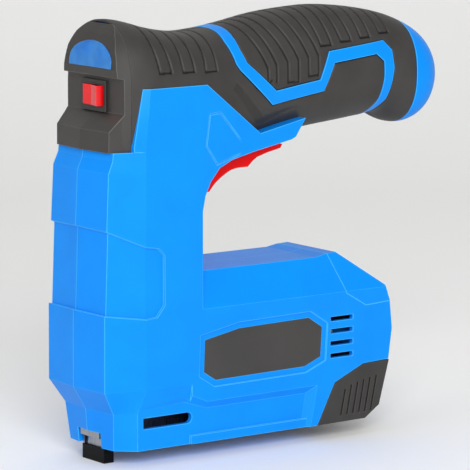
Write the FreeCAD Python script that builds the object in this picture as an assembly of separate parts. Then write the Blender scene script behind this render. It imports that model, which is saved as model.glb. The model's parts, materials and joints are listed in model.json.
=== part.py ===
import FreeCAD, Part
import math
import os

# Cordless electric staple gun: C-shaped two-shell housing with a rubber grip, a
# spring-driven striker lifted by a geared motor, and a pull-out magazine.
# Frame: the origin is where the staple leaves the nose, on the work surface.
# +Z is up, +X runs back towards the handle's end, and Y = 0 is the shells' split.
# All sizes are in millimetres.

V = FreeCAD.Vector

# ---- driving sizes ---------------------------------------------------------------
HALF_W = 31.0            # housing half width
WALL = 3.0               # moulded wall, rubber included
RUBBER = 1.4             # thickness of the moulded-on rubber
FIT = 0.3                # gap round anything that slides or turns in plastic
RUN = 0.05               # radial running clearance of a shaft in its bush

ARM_TOP = 97.5           # top of the lower arm
ARM_END = 168.0          # rear face of the lower arm
BASE_Z = 8.5             # underside of the housing above the work
COLUMN_BACK = 45.0       # rear face of the front column
SHOULDER_Z = 195.2       # where the coloured side ends and the rubber saddle starts
CHIN_Z = 163.3           # lower edge of the dark head

BLADE_T = 1.2            # driver blade thickness, along X
BLADE_W = 12.5           # driver blade width, along Y
STROKE = 24.0            # striker travel
FOOT_TRAVEL = 5.0        # contact foot travel
FOOT_W = 20.0            # contact foot width
FOOT_D = 6.0             # contact foot depth

DRIVE_Z = 56.0           # height of the motor and lifter axis
CENTRES = 20.0           # distance between the two gear axes
PIN_CIRCLE = 11.0        # radius of the circle of lifter pins
PIN_R = 1.5              # lifter pin radius
PIN_STEP = 60.0          # degrees between lifter pins
TOOTH_H = 4.0            # height of a rack tooth above the pitch line
PRESSURE_ANGLE = 25.0    # degrees, for every gear
BACKLASH = 0.12          # tooth thinning at the pitch circle

MOTOR_R = 18.0           # motor can radius
MOTOR_FRONT = 79.0       # front face of the motor
MOTOR_LEN = 55.0         # motor can length
SHAFT_R = 4.0            # lifter shaft radius
LAY_R = 3.0              # layshaft radius
ROTOR_R = 1.6            # motor shaft radius

CELL_R = 9.15            # battery cell radius
CELL_LEN = 65.0          # battery cell length

DRAWER_TRAVEL = 90.0     # how far the magazine pulls out
PUSHER_TRAVEL = 85.0     # how far the staple pusher moves back
SCREW_R = 1.5            # housing screw shank radius
BOSS_R = 4.3             # screw boss radius

# ---- plain geometry --------------------------------------------------------------


def box(x0, x1, y0, y1, z0, z1):
    return Part.makeBox(x1 - x0, y1 - y0, z1 - z0, V(x0, y0, z0))


def rod(axis, a, b, c0, c1, radius):
    """Cylinder along an axis from c0 to c1; a, b are its other two coordinates in X, Y, Z order."""
    base, direction = {"x": (V(c0, a, b), V(1, 0, 0)),
                       "y": (V(a, c0, b), V(0, 1, 0)),
                       "z": (V(a, b, c0), V(0, 0, 1))}[axis]
    return Part.makeCylinder(radius, c1 - c0, base, direction)


def tube(axis, a, b, c0, c1, outer, inner):
    return rod(axis, a, b, c0, c1, outer).cut(rod(axis, a, b, c0 - 1, c1 + 1, inner))


def prism(axis, points, c0, c1):
    """Straight prism of a polygon given in the other two coordinates, from c0 to c1."""
    place = {"x": lambda p: V(c0, p[0], p[1]),
             "y": lambda p: V(p[0], c0, p[1]),
             "z": lambda p: V(p[0], p[1], c0)}[axis]
    way = {"x": V(c1 - c0, 0, 0), "y": V(0, c1 - c0, 0), "z": V(0, 0, c1 - c0)}[axis]
    wire = Part.makePolygon([place(p) for p in points] + [place(points[0])])
    return Part.Face(wire).extrude(way)


def offset(points, inset):
    """Polygon with every side moved inwards by inset (outwards if it is negative)."""
    count = len(points)
    area = sum(points[i][0] * points[(i + 1) % count][1] - points[(i + 1) % count][0] * points[i][1]
               for i in range(count))
    turn = 1.0 if area > 0 else -1.0
    moved = []
    for i in range(count):
        before, here, after = points[i - 1], points[i], points[(i + 1) % count]
        normals = []
        for start, end in ((before, here), (here, after)):
            dx, dy = end[0] - start[0], end[1] - start[1]
            length = math.hypot(dx, dy)
            normals.append((-dy / length * turn, dx / length * turn))
        (ax, ay), (bx, by) = normals
        share = inset / (1.0 + ax * bx + ay * by)
        moved.append((here[0] + (ax + bx) * share, here[1] + (ay + by) * share))
    return moved


def fuse(shapes):
    whole = shapes[0]
    if len(shapes) > 1:
        whole = whole.multiFuse(shapes[1:])
    return whole.removeSplitter()


def group(shapes):
    return Part.makeCompound(shapes)


def mirror_y(shape):
    return shape.mirror(V(0, 0, 0), V(0, 1, 0))


def biggest(shape):
    return max(shape.Solids, key=lambda solid: solid.Volume)


def save(name, shape):
    solids = shape.Solids
    body = solids[0] if len(solids) == 1 else Part.makeCompound(solids)
    body.exportStep("parts/" + name + ".step")
    print(name, len(solids), "solids", round(body.Volume), "mm3", body.isValid())


# ---- outer form ------------------------------------------------------------------
# The housing's outside is four forms: the front column, the lower arm, the upper
# body that runs from the head to the handle's end, and the tongue over the trigger.
# Each is a function of an inset, so that walls, rubber and recesses follow the skin.

# Column sections: height, keel X, corner X, corner Y and side Y as steps in from HALF_W.
KEEL = -15.0
COLUMN_SECTIONS = [
    (BASE_Z, 9.0, 2.2, 11.0, 2.5), (28.0, 7.4, 2.2, 8.6, 2.5), (40.5, 0.0, 1.9, 5.0, 0.0),
    (78.0, 0.2, 1.9, 5.0, 0.0), (125.0, 2.0, 1.9, 5.2, 0.0), (153.0, 3.4, 1.9, 5.5, 0.0),
    (159.5, 6.4, 1.8, 5.8, 0.0), (CHIN_Z, 6.8, 1.8, 5.8, 0.0)]
FACET_X = 9.5            # where the front facet meets the flat side


def column_ring(keel_x, corner_x, corner_y, side_x, side_y, z, inset):
    points = [(keel_x, 0.0), (corner_x, -corner_y), (side_x, -side_y), (COLUMN_BACK, -side_y),
              (COLUMN_BACK, side_y), (side_x, side_y), (corner_x, corner_y)]
    points = offset(points, inset)
    return Part.makePolygon([V(x, y, z) for x, y in points + points[:1]])


def column(inset=0.0):
    """Front column: a V-shaped front with facets, lofted straight between its sections."""
    rings = []
    for i, (z, back, dip, corner_in, side_in) in enumerate(COLUMN_SECTIONS):
        height = z + inset if i == 0 else z
        side_x = FACET_X if side_in == 0 else FACET_X - 4.0
        rings.append(column_ring(KEEL + back, KEEL + back + dip, HALF_W - corner_in,
                                 side_x, HALF_W - side_in, height, inset))
    lower = Part.makeLoft(rings, True, True)
    collar = [column_ring(2.0, 3.0, HALF_W - 1.6, FACET_X, HALF_W, CHIN_Z - 0.01, inset),
              column_ring(8.6, 9.3, HALF_W - 2.0, FACET_X + 3.0, HALF_W, SHOULDER_Z - inset, inset)]
    return lower.fuse(Part.makeLoft(collar, True, True))


ARM_SIDE = [(38.0, BASE_Z), (ARM_END - 16.5, BASE_Z), (ARM_END - 6.5, 15.0), (ARM_END - 1.0, 38.0),
            (ARM_END + 1.5, 56.0), (ARM_END, 71.5), (ARM_END - 3.0, 80.0), (ARM_END - 29.5, ARM_TOP + 1.5),
            (ARM_END - 37.0, ARM_TOP + 1.2), (ARM_END - 43.0, ARM_TOP), (38.0, ARM_TOP)]
ARM_EDGE_Z = 79.0        # where the arm's flat side turns into its upper facet


def arm(inset=0.0):
    """Lower arm: side outline met by a cross-section with sloping upper facets."""
    top = ARM_TOP + 1.5
    lean = 9.0 * (top - ARM_EDGE_Z) / (ARM_TOP - ARM_EDGE_Z)
    section = [(-HALF_W, BASE_Z), (HALF_W, BASE_Z), (HALF_W, ARM_EDGE_Z), (HALF_W - lean, top),
               (-HALF_W + lean, top), (-HALF_W, ARM_EDGE_Z)]
    return prism("y", offset(ARM_SIDE, inset), -HALF_W, HALF_W).common(
        prism("x", offset(section, inset), 0.0, ARM_END + 10.0))


# Upper body sections: X, top Z, widest Z, bottom Z, half width, and the roundness of
# the upper and lower halves (2 is an ellipse, larger is squarer).
UPPER_SECTIONS = [
    (-12.0, 228.9, 192.0, 150.0, 23.0, 2.4, 6.0), (-8.5, 228.9, 192.0, 150.0, 23.8, 2.4, 6.0),
    (-3.3, 228.9, 192.0, 150.0, 25.0, 2.4, 6.0), (3.0, 228.9, 192.0, 150.0, 27.0, 2.4, 6.0),
    (8.5, 228.7, 192.0, 150.0, 28.6, 2.45, 6.0), (14.0, 227.5, 191.0, 150.0, 30.0, 2.5, 6.0),
    (24.0, 224.6, 190.0, 150.0, 30.6, 2.6, 6.0), (36.0, 222.0, 188.0, 150.0, 30.6, 2.6, 6.0),
    (50.0, 220.3, 188.0, 151.0, 30.0, 2.6, 5.0), (64.0, 221.2, 188.0, 154.5, 28.6, 2.5, 3.6),
    (80.0, 223.6, 190.0, 158.5, 26.6, 2.45, 2.8), (100.0, 227.3, 194.5, 162.4, 25.0, 2.4, 2.4),
    (120.0, 229.2, 197.0, 164.5, 24.0, 2.4, 2.4), (137.0, 229.8, 198.0, 166.2, 24.0, 2.4, 2.4),
    (150.0, 228.9, 198.0, 167.4, 24.0, 2.4, 2.4), (165.0, 226.9, 198.0, 168.9, 23.6, 2.4, 2.4),
    (176.0, 224.7, 197.2, 169.6, 23.4, 2.35, 2.35), (183.0, 222.8, 194.5, 165.6, 24.6, 2.3, 2.3),
    (189.0, 220.6, 192.3, 163.6, 25.2, 2.3, 2.3), (196.0, 217.4, 190.7, 164.0, 25.0, 2.3, 2.3),
    (203.0, 212.6, 190.1, 167.6, 22.6, 2.3, 2.3), (209.0, 206.0, 190.0, 174.0, 17.4, 2.2, 2.2),
    (213.0, 199.5, 190.8, 182.0, 9.0, 2.1, 2.1)]
RING_POINTS = 32         # points round each section, evenly spaced
HEAD_FRONT = [(-8.4, CHIN_Z), (-8.2, 174.0), (0.0, 182.5), (0.0, 200.3), (-3.2, 201.0), (-3.5, 205.0),
              (-2.6, 215.0), (0.0, 222.3), (3.3, 227.0), (9.0, 229.8), (60.0, 240.0), (240.0, 240.0),
              (240.0, 140.0), (4.0, 140.0), (4.0, CHIN_Z)]


def upper_outline(section, inset, angle):
    """Point of a section at an angle from its widest line: two half superellipses."""
    x, top, mid, bottom, half, round_top, round_low = section
    c, s = math.cos(angle), math.sin(angle)
    power = 2.0 / (round_top if s >= 0 else round_low)
    reach = (top - mid if s >= 0 else mid - bottom) - inset
    return V(x, (half - inset) * math.copysign(abs(c) ** power, c),
             mid + reach * math.copysign(abs(s) ** power, s))


def upper_ring(section, inset):
    """Closed curve through points evenly spaced round the section, starting at its top."""
    steps = 720
    fine = [upper_outline(section, inset, math.pi / 2 + 2 * math.pi * k / steps) for k in range(steps + 1)]
    run = [0.0]
    for a, b in zip(fine, fine[1:]):
        run.append(run[-1] + a.distanceToPoint(b))
    points, k = [], 0
    for i in range(RING_POINTS):
        goal = run[-1] * i / RING_POINTS
        while run[k + 1] < goal:
            k += 1
        share = (goal - run[k]) / (run[k + 1] - run[k])
        points.append(fine[k] + (fine[k + 1] - fine[k]) * share)
    curve = Part.BSplineCurve()
    curve.interpolate(Points=points, PeriodicFlag=True,
                      Parameters=[i / RING_POINTS for i in range(RING_POINTS + 1)])
    return Part.Wire(curve.toShape())


def upper_body(inset=0.0):
    """Head, saddle and handle: one lofted form, with the head's front cut to its outline."""
    last = UPPER_SECTIONS[-1]
    rings = [upper_ring(s, inset) for s in UPPER_SECTIONS[:-1]]
    rings.append(upper_ring((last[0] - inset,) + last[1:], inset))
    loft = Part.makeLoft(rings, True, False)
    return loft.common(prism("y", offset(HEAD_FRONT, inset), -60.0, 60.0))


CHIN_RINGS = [(CHIN_Z, -10.2, -8.4, 23.8), (174.0, -9.9, -8.2, 24.0), (182.5, 0.0, 0.2, 26.0)]


def chin(inset=0.0):
    """Lower lip of the head, with the column's V-shaped front."""
    rings = []
    for i, (z, keel_x, corner_x, corner_y) in enumerate(CHIN_RINGS):
        points = offset([(keel_x, 0.0), (corner_x, -corner_y), (7.0, -27.4), (7.0, 27.4),
                         (corner_x, corner_y)], inset)
        height = z + inset * (1, 0, -1)[i]
        rings.append(Part.makePolygon([V(x, y, height) for x, y in points + points[:1]]))
    return Part.makeLoft(rings, True, True)


TONGUE_SIDE = [(38.0, SHOULDER_Z), (48.2, SHOULDER_Z), (84.5, 167.2), (116.0, 172.8), (109.0, 163.4),
               (106.0, 162.2), (98.0, 160.9), (79.0, 157.9), (65.0, 155.0), (56.5, 151.5), (50.5, 145.0),
               (46.8, 138.0), (COLUMN_BACK, 130.0), (38.0, 130.0)]
TONGUE_TIP_Y = HALF_W - 6.6


def tongue(inset=0.0):
    """Coloured flank between the column and the handle, which shrouds the trigger."""
    plan = [(36.0, -HALF_W), (COLUMN_BACK, -HALF_W), (118.0, -TONGUE_TIP_Y), (118.0, TONGUE_TIP_Y),
            (COLUMN_BACK, HALF_W), (36.0, HALF_W)]
    return prism("y", offset(TONGUE_SIDE, inset), -60.0, 60.0).common(
        prism("z", offset(plan, inset), 120.0, 205.0))


# ---- details of the outside ------------------------------------------------------
WAIST = [(-22.0, 127.0), (-11.6, 123.7), (FACET_X, 114.4), (17.2, 113.2), (21.0, 109.3), (21.0, 83.2),
         (16.4, 77.7), (FACET_X, 77.1), (-11.9, 80.2), (-22.0, 82.0)]
WAIST_DEPTH = 1.4
SKIRT_OUT = [(1.0, 39.5), (7.8, 38.9), (32.8, 37.5), (47.0, 30.6), (120.4, 30.8), (114.0, 0.0), (1.0, 0.0)]
SKIRT_IN = [(1.0, 27.9), (10.0, 29.4), (34.0, 31.2), (48.5, 26.4), (113.4, 26.6), (108.0, 0.0), (1.0, 0.0)]
SKIRT_DEPTH = 2.5
LABEL = [(68.5, 66.4), (46.8, 62.4), (46.1, 45.6), (53.4, 40.9), (111.0, 41.5), (121.6, 45.6),
         (122.6, 61.4), (113.9, 67.2)]
LABEL_FRAME = 3.4        # width of the stepped frame round the label plate
LABEL_STEP = 0.8         # depth of that frame
LABEL_T = 1.2            # label plate thickness
SIDE_PANEL = [(49.5, 180.1), (57.0, 180.5), (76.4, 159.0), (54.5, 153.1), (47.0, 163.5)]
PANEL_GROOVE = 0.7
STRIPE_OUT = [(69.0, 240.0), (67.0, 215.4), (68.4, 210.2), (70.2, 203.7), (72.4, 200.5), (94.6, 181.0),
              (129.1, 185.9), (135.6, 200.5), (164.1, 203.5), (169.6, 199.2), (170.1, 190.1),
              (169.1, 178.6), (160.0, 160.0)]
STRIPE_IN = [(164.0, 160.0), (174.3, 178.2), (175.3, 186.6), (176.3, 195.7), (174.8, 205.2),
             (169.3, 210.4), (132.3, 206.8), (126.4, 192.1), (96.6, 188.3), (77.2, 204.2),
             (74.4, 210.9), (73.6, 217.2), (72.0, 240.0)]
GRIP_END = 190.5         # X where the rubber ends and the handle's bare end cap starts
COVER_SEAM = [(132.4, 110.0), (132.8, ARM_TOP), (138.7, 78.0), (151.8, 70.3), (180.0, 71.8), (180.0, 110.0)]
GRIP_SIDE = [(119.8, BASE_Z), (131.1, 30.2), (150.0, 38.4), (ARM_END - 0.4, 39.1), (ARM_END - 7.0, 15.2),
             (ARM_END - 16.5, BASE_Z + 0.3)]
GRIP_GAP = 0.4           # gap between the magazine grip and the shells
WINDOW = (9.0, 39.5, 19.6, 25.4)
VENT_X = (128.0, 143.0)
VENT_Z = (65.0, 58.4, 51.8, 45.2)
VENT_H = 2.5

# Housing screws, driven from the +Y side: X and Z of each boss.
SCREW_SPOTS = [(37.0, 184.0), (37.0, 122.0), (8.0, 177.0), (66.0, 33.0), (124.0, 32.5), (52.0, 90.0),
               (120.0, 87.5), (150.0, 52.0), (104.0, 196.0), (196.0, 191.0)]
SEAT_Y = 8.0             # depth at which a screw head sits, from the split
SCREW_BITE = 12.0        # length of screw in the left half
SCREW_HEAD_R = 3.0
SPRING_LEDGE = 177.0     # underside of the ledge above the trigger spring
LIP_TOP = 13.0           # top of the lip round the foot of the skirt

TRIGGER_HALF = 7.0
TRIGGER_PIVOT = (94.0, 166.5)
PIN_TRIGGER_R = 2.0
PIN_HALF = 21.0
LENS_HALF = 19.0
LENS_LOW = 205.3
LENS_HIGH = 218.6
SWITCH_Z = 190.6         # centre of the rocker switch
SWITCH_W = 19.0          # body of the switch, along Y
SWITCH_H = 13.0
PANEL_BACK = 3.5         # rear face of the head panel
SOCKET_Z = 58.0
SOCKET_R = 4.0
MAG_HALF = 9.8           # magazine track half width
MAG_TOP = 26.6           # magazine track roof


def half_space():
    return box(-40.0, 240.0, -60.0, 0.0, -10.0, 260.0)


def bare_parts():
    """Where the shell comes out flush with the rubber: the stripe and the handle's end."""
    return prism("y", STRIPE_OUT + STRIPE_IN, -60.0, 0.0).fuse(box(GRIP_END, 240.0, -60.0, 0.0, 100.0, 250.0))


def waist_recess():
    """Layer sunk round the column's waist, as deep as WAIST_DEPTH from the skin."""
    return column().cut(column(WAIST_DEPTH)).common(prism("y", WAIST, -60.0, 0.0))


def skirt_recess():
    """Recess with sloping edges along the foot of the side, above the bottom lip."""
    rings = []
    for outline, y in ((offset(SKIRT_OUT, -1.2), -HALF_W - 1.0), (SKIRT_IN, -HALF_W + SKIRT_DEPTH)):
        rings.append(Part.makePolygon([V(x, y, z) for x, z in outline + outline[:1]]))
    lip = box(0.0, 130.0, -HALF_W + 1.2, -HALF_W + 6.0, 0.0, LIP_TOP)
    return Part.makeLoft(rings, True, True).cut(lip)


def label_recess():
    frame = prism("y", offset(LABEL, -LABEL_FRAME), -HALF_W - 1.0, -HALF_W + LABEL_STEP)
    seat = prism("y", LABEL, -HALF_W - 1.0, -HALF_W + LABEL_STEP + LABEL_T)
    return frame.fuse(seat)


def side_cuts():
    """Everything sunk into or cut through the -Y side."""
    groove = prism("y", SIDE_PANEL, -HALF_W - 1.0, -HALF_W + 2.4).cut(
        prism("y", offset(SIDE_PANEL, PANEL_GROOVE), -HALF_W - 2.0, -HALF_W + 3.0))
    x0, x1, z0, z1 = WINDOW
    round_r = (z1 - z0) / 2
    cuts = [waist_recess(), skirt_recess(), label_recess(), groove.cut(tongue(PANEL_GROOVE)),
            box(x0, x1 - round_r, -HALF_W - 1, -15.0, z0, z1),
            rod("y", x1 - round_r, z0 + round_r, -HALF_W - 1, -15.0, round_r)]
    for z in VENT_Z:
        cuts.append(box(VENT_X[0], VENT_X[1], -HALF_W - 1, -HALF_W + WALL + 2, z - VENT_H / 2, z + VENT_H / 2))
    return fuse(cuts)


def trigger_slot():
    slot = box(57.0, 117.0, -TRIGGER_HALF - 0.8, TRIGGER_HALF + 0.8, 130.0, 168.0)
    return slot.cut(column())


def middle_cuts():
    """Holes through the middle of the housing: nose, magazine, trigger, socket and head."""
    nose = box(-9.0, 8.0, -FOOT_W / 2 - 0.5, FOOT_W / 2 + 0.5, 0.0, BASE_Z + 8.0)
    path = box(-GUIDE_X - 0.3, ARM_END + 10.0, -MAG_HALF - 0.4, MAG_HALF + 0.4, 0.0, MAG_TOP)
    guide_room = box(-GUIDE_X - 0.3, 8.0, -GUIDE_HALF - 0.3, GUIDE_HALF + 0.3, 0.0, 40.0)
    seat_room = box(0.0, 12.0, -21.0, 21.0, CHIN_Z - 3.0, SPRING_TOP + SEAT_T + 1.0)
    tail = prism("y", offset(GRIP_SIDE, -GRIP_GAP), -60.0, 60.0)
    socket = rod("x", 0.0, SOCKET_Z, ARM_END - 12, ARM_END + 5, SOCKET_R)
    head = box(-20.0, PANEL_BACK, -40.0, 40.0, CHIN_Z, 240.0)
    return fuse([nose, path, guide_room, seat_room, tail, trigger_slot(), socket, head])


def ribs():
    """Bosses and ledges that the inner parts are held by, before they are cut to the skin."""
    low, high = -HALF_W - 9.0, 0.0
    made = [rod("y", x, z, low, high, BOSS_R) for x, z in SCREW_SPOTS]
    made.append(rod("y", TRIGGER_PIVOT[0], TRIGGER_PIVOT[1], low, -TRIGGER_HALF - 0.3, 4.2))
    made.append(box(60.0, 70.0, low, high, SPRING_LEDGE, SPRING_LEDGE + 2.0))
    made.append(box(PLUNGER_X - 5.0, PLUNGER_X + 7.0, low, -SWITCH_HALF, 174.0, 178.0))
    for span in (BEARING, GEAR_FRONT, GEAR_MID, MOTOR_PLATE):
        made.append(box(span[0], span[1], low, -PLATE_HALF, 45.0, 72.0))
    made.append(box(BEARING[0], BEARING[1], low, -BEARING_HALF, 45.0, 50.0))
    made.append(box(118.0, 121.0, low, high, 26.6, 50.0).cut(rod("x", 0.0, DRIVE_Z, 100, 130, MOTOR_R)))
    made.append(box(-8.0, 7.0, low, -BASE_HALF, *BASE_PLATE))
    made.append(box(12.0, 22.0, low, -12.0, SPRING_TOP + SEAT_T, SPRING_TOP + SEAT_T + 2.5))
    made.append(box(95.0, 98.0, low, -BOARD_HALF, BOARD_Z, BOARD_Z + 1.6))
    made.append(box(LED_X, LED_X + 1.6, low, -LED_HALF, 208.0, 212.0))
    for x in (60.0, 100.0):
        made.append(box(x, x + 4.0, low, high, MAG_TOP, MAG_TOP + 2.0))
    for x in (CELL_X0 - HOLDER_T - 2.0, CELL_X0 + CELL_LEN + HOLDER_T):
        made.append(box(x, x + 2.0, low, -4.0, 176.0, 216.0))
    return made


# ---- housing ---------------------------------------------------------------------


def housing(skins):
    """Two shells, the tail cover and the rubber grips, made as the -Y half and its mirror image."""
    side = half_space()
    outer = [form.common(side) for form in (column(), arm(), tongue(), skins[RUBBER])]
    inner = [form.common(side) for form in (column(WALL), arm(WALL), tongue(WALL), skins[WALL])]
    outside = outer[0].multiFuse(outer[1:])
    band = skins[0.0].common(bare_parts())
    shell = outside.fuse(band).cut(inner[0].multiFuse(inner[1:]))
    shell = shell.fuse(fuse(ribs()).common(outside))
    pin = rod("y", TRIGGER_PIVOT[0], TRIGGER_PIVOT[1], -PIN_HALF, 0.0, PIN_TRIGGER_R)
    shell = shell.cut(fuse([side_cuts(), middle_cuts(), pin]))
    seam = prism("y", COVER_SEAM, -60.0, 0.0)
    cover = biggest(shell.common(seam))
    shell = biggest(shell.cut(seam))
    rubber = skins[0.0].common(side).cut(skins[RUBBER])
    head = box(-30.0, PANEL_BACK, -60.0, 60.0, 100.0, 250.0)
    rubber = rubber.cut(fuse([column(), tongue(), bare_parts(), head, trigger_slot()]))
    rubber = [solid for solid in rubber.Solids if solid.Volume > 40.0]

    pilots = fuse([rod("y", x, z, -SCREW_BITE, 0.0, SCREW_R) for x, z in SCREW_SPOTS])
    holes = fuse([rod("y", x, z, 0.0, SEAT_Y + 1.0, SCREW_R) for x, z in SCREW_SPOTS] +
                 [rod("y", x, z, SEAT_Y, 60.0, SCREW_HEAD_R + 0.2) for x, z in SCREW_SPOTS])
    save("left_shell", shell.cut(pilots))
    save("right_shell", biggest(mirror_y(shell).cut(holes)))
    save("tail_cover", cover.fuse(mirror_y(cover)).removeSplitter())
    save("left_grip", group(rubber))
    save("right_grip", group([mirror_y(solid) for solid in rubber]).cut(holes))


# ---- head ------------------------------------------------------------------------


def lens_outline():
    """D-shaped window: flat below, arched above."""
    rise = LENS_HIGH - LENS_LOW - 3.0
    steps = 14
    arch = []
    for i in range(steps + 1):
        angle = math.pi * i / steps
        arch.append((LENS_HALF * math.cos(angle), LENS_LOW + 3.0 + rise * math.sin(angle)))
    return [(LENS_HALF, LENS_LOW)] + arch + [(-LENS_HALF, LENS_LOW)]


def head_panel(skins):
    """Dark front of the head, from the chin up to the visor, with holes for lens and switch."""
    slab = box(-20.0, PANEL_BACK, -60.0, 60.0, CHIN_Z, 240.0)
    front = skins[0.0].common(slab).fuse(chin().common(slab))
    plate = front.cut(skins[WALL].common(slab)).cut(chin(WALL))
    plate = plate.cut(prism("x", lens_outline(), -20.0, 20.0))
    plate = plate.cut(box(-5.0, PANEL_BACK, -21.0, 21.0, CHIN_Z - 1.0, CHIN_Z + WALL + 2.0))
    plate = plate.cut(box(-20.0, 20.0, -SWITCH_W / 2, SWITCH_W / 2,
                          SWITCH_Z - SWITCH_H / 2, SWITCH_Z + SWITCH_H / 2))
    save("head_panel", biggest(plate))


def lens():
    """Flush lens that follows the visor's slope, 0.4 mm proud of it."""
    front = prism("y", offset(HEAD_FRONT, -0.4), -60.0, 60.0)
    save("lens", prism("x", lens_outline(), -6.0, 0.6).common(front))


LED_X = 3.6
LED_HALF = 17.0


def led_board():
    save("led_board", box(LED_X, LED_X + 1.6, -LED_HALF, LED_HALF, LENS_LOW - 1.0, LENS_HIGH - 3.0))
    save("leds", group([rod("x", y, (LENS_LOW + LENS_HIGH) / 2, LED_X - 1.8, LED_X, 2.5) for y in (-8.0, 8.0)]))


ROCKER_PIVOT_X = 5.6
ROCKER_W = 16.4
ROCKER_H = 10.4
ROCKER_TILT = 8.0        # how far the rocker leans to one side at rest
ROCKER_PIN_R = 0.9


def rocker_switch():
    half_w, half_h = SWITCH_W / 2, SWITCH_H / 2
    bezel = box(-1.6, 0.0, -half_w - 1.5, half_w + 1.5, SWITCH_Z - half_h - 1.5, SWITCH_Z + half_h + 1.5)
    body = box(-0.1, 17.0, -half_w, half_w, SWITCH_Z - half_h, SWITCH_Z + half_h)
    room = box(-10.0, 9.7, -ROCKER_W / 2 - 0.9, ROCKER_W / 2 + 0.9,
               SWITCH_Z - ROCKER_H / 2 - 0.25, SWITCH_Z + ROCKER_H / 2 + 0.25)
    pin = rod("z", ROCKER_PIVOT_X, 0.0, SWITCH_Z - half_h + 0.5, SWITCH_Z + half_h - 0.5, ROCKER_PIN_R)
    save("switch_housing", fuse([bezel.fuse(body).cut(room), pin]))
    # the rocker's face is a shallow V whose arms lean one way or the other
    face = -3.2
    half = ROCKER_W / 2
    outline = [(face, -half + 0.4), (face + 0.9, 0.0), (face, half - 0.4), (face + 4.2, half),
               (ROCKER_PIVOT_X + 2.6, 2.6), (ROCKER_PIVOT_X + 2.6, -2.6), (face + 4.2, -half)]
    key = prism("z", outline, SWITCH_Z - ROCKER_H / 2, SWITCH_Z + ROCKER_H / 2)
    key = key.cut(rod("z", ROCKER_PIVOT_X, 0.0, 150, 230, ROCKER_PIN_R + RUN))
    key.rotate(V(ROCKER_PIVOT_X, 0, 0), V(0, 0, 1), -ROCKER_TILT)
    save("rocker", key)


def label_plates():
    plate = prism("y", LABEL, -HALF_W + LABEL_STEP - 0.2, -HALF_W + LABEL_STEP + LABEL_T)
    save("label_plates", group([plate, mirror_y(plate)]))


def screws():
    made = []
    for x, z in SCREW_SPOTS:
        head = rod("y", x, z, SEAT_Y, SEAT_Y + 2.2, SCREW_HEAD_R - 0.2)
        shank = rod("y", x, z, -SCREW_BITE, SEAT_Y, SCREW_R)
        slot = box(x - 2.0, x + 2.0, SEAT_Y + 1.2, SEAT_Y + 3, z - 0.4, z + 0.4)
        cross = box(x - 0.4, x + 0.4, SEAT_Y + 1.2, SEAT_Y + 3, z - 2.0, z + 2.0)
        made.append(head.fuse(shank).cut(slot.fuse(cross)))
    save("housing_screws", group(made))


# ---- trigger ---------------------------------------------------------------------
TRIGGER_FINGER = [(66.2, 135.8), (70.0, 139.9), (75.4, 143.7), (80.4, 146.1), (85.3, 146.9), (91.0, 146.9)]
TRIGGER_BACK = [(94.0, 149.6), (97.0, 151.6), (104.0, 153.6), (112.4, 155.3), (113.6, 157.2),
                (107.0, 160.2), (100.0, 163.0), (99.0, 170.6), (89.0, 170.6), (84.0, 165.2), (70.0, 163.0),
                (61.8, 163.0), (61.2, 152.0), (61.6, 141.0), (63.9, 135.4)]


def trigger():
    points = [V(x, -TRIGGER_HALF, z) for x, z in TRIGGER_FINGER]
    finger = Part.BSplineCurve()
    finger.interpolate(points)
    rest = [points[-1]] + [V(x, -TRIGGER_HALF, z) for x, z in TRIGGER_BACK] + [points[0]]
    wire = Part.Wire([finger.toShape()] + [Part.LineSegment(a, b).toShape() for a, b in zip(rest, rest[1:])])
    blade = Part.Face(wire).extrude(V(0, 2 * TRIGGER_HALF, 0))
    x, z = TRIGGER_PIVOT
    save("trigger", blade.cut(rod("y", x, z, -30, 30, PIN_TRIGGER_R + RUN)))
    save("trigger_pin", rod("y", x, z, -PIN_HALF, PIN_HALF, PIN_TRIGGER_R))


PLUNGER_X = 78.0
PLUNGER_R = 1.5
SWITCH_HALF = 5.0


def spring(axis, a, b, c0, c1, mean_r, wire_r, turns):
    """Coil spring along an axis between c0 and c1, with its wire inside those ends."""
    height = c1 - c0 - 2 * wire_r
    helix = Part.makeHelix(height / turns, height, mean_r)
    ring = Part.Wire(Part.makeCircle(wire_r, V(mean_r, 0, 0), V(0, 1, 0)))
    coil = Part.Wire(helix.Edges).makePipeShell([ring], True, True)
    coil.translate(V(0, 0, wire_r))
    if axis == "x":
        coil.rotate(V(0, 0, 0), V(0, 1, 0), 90)
        coil.translate(V(c0, a, b))
    else:
        coil.translate(V(a, b, c0))
    return coil


def trigger_works():
    save("trigger_spring", spring("z", 65.5, 0.0, 163.0, SPRING_LEDGE, 3.0, 0.45, 6))
    body = box(PLUNGER_X - 7.0, PLUNGER_X + 9.0, -SWITCH_HALF, SWITCH_HALF, 170.0, 181.0)
    body = body.cut(rod("z", PLUNGER_X, 0.0, 160.0, 177.5, PLUNGER_R + RUN))
    save("trigger_switch", body)
    save("switch_plunger", rod("z", PLUNGER_X, 0.0, 164.6, 174.0, PLUNGER_R))


# ---- nose and magazine -----------------------------------------------------------
TIP_HALF = BLADE_W / 2 + 0.9
TIP_X = BLADE_T / 2 + 1.0
GUIDE_HALF = BLADE_W / 2 + 2.4
GUIDE_X = 5.0
NOSE_LOW = FOOT_TRAVEL + 0.3
TIP_TOP = 13.0


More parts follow.
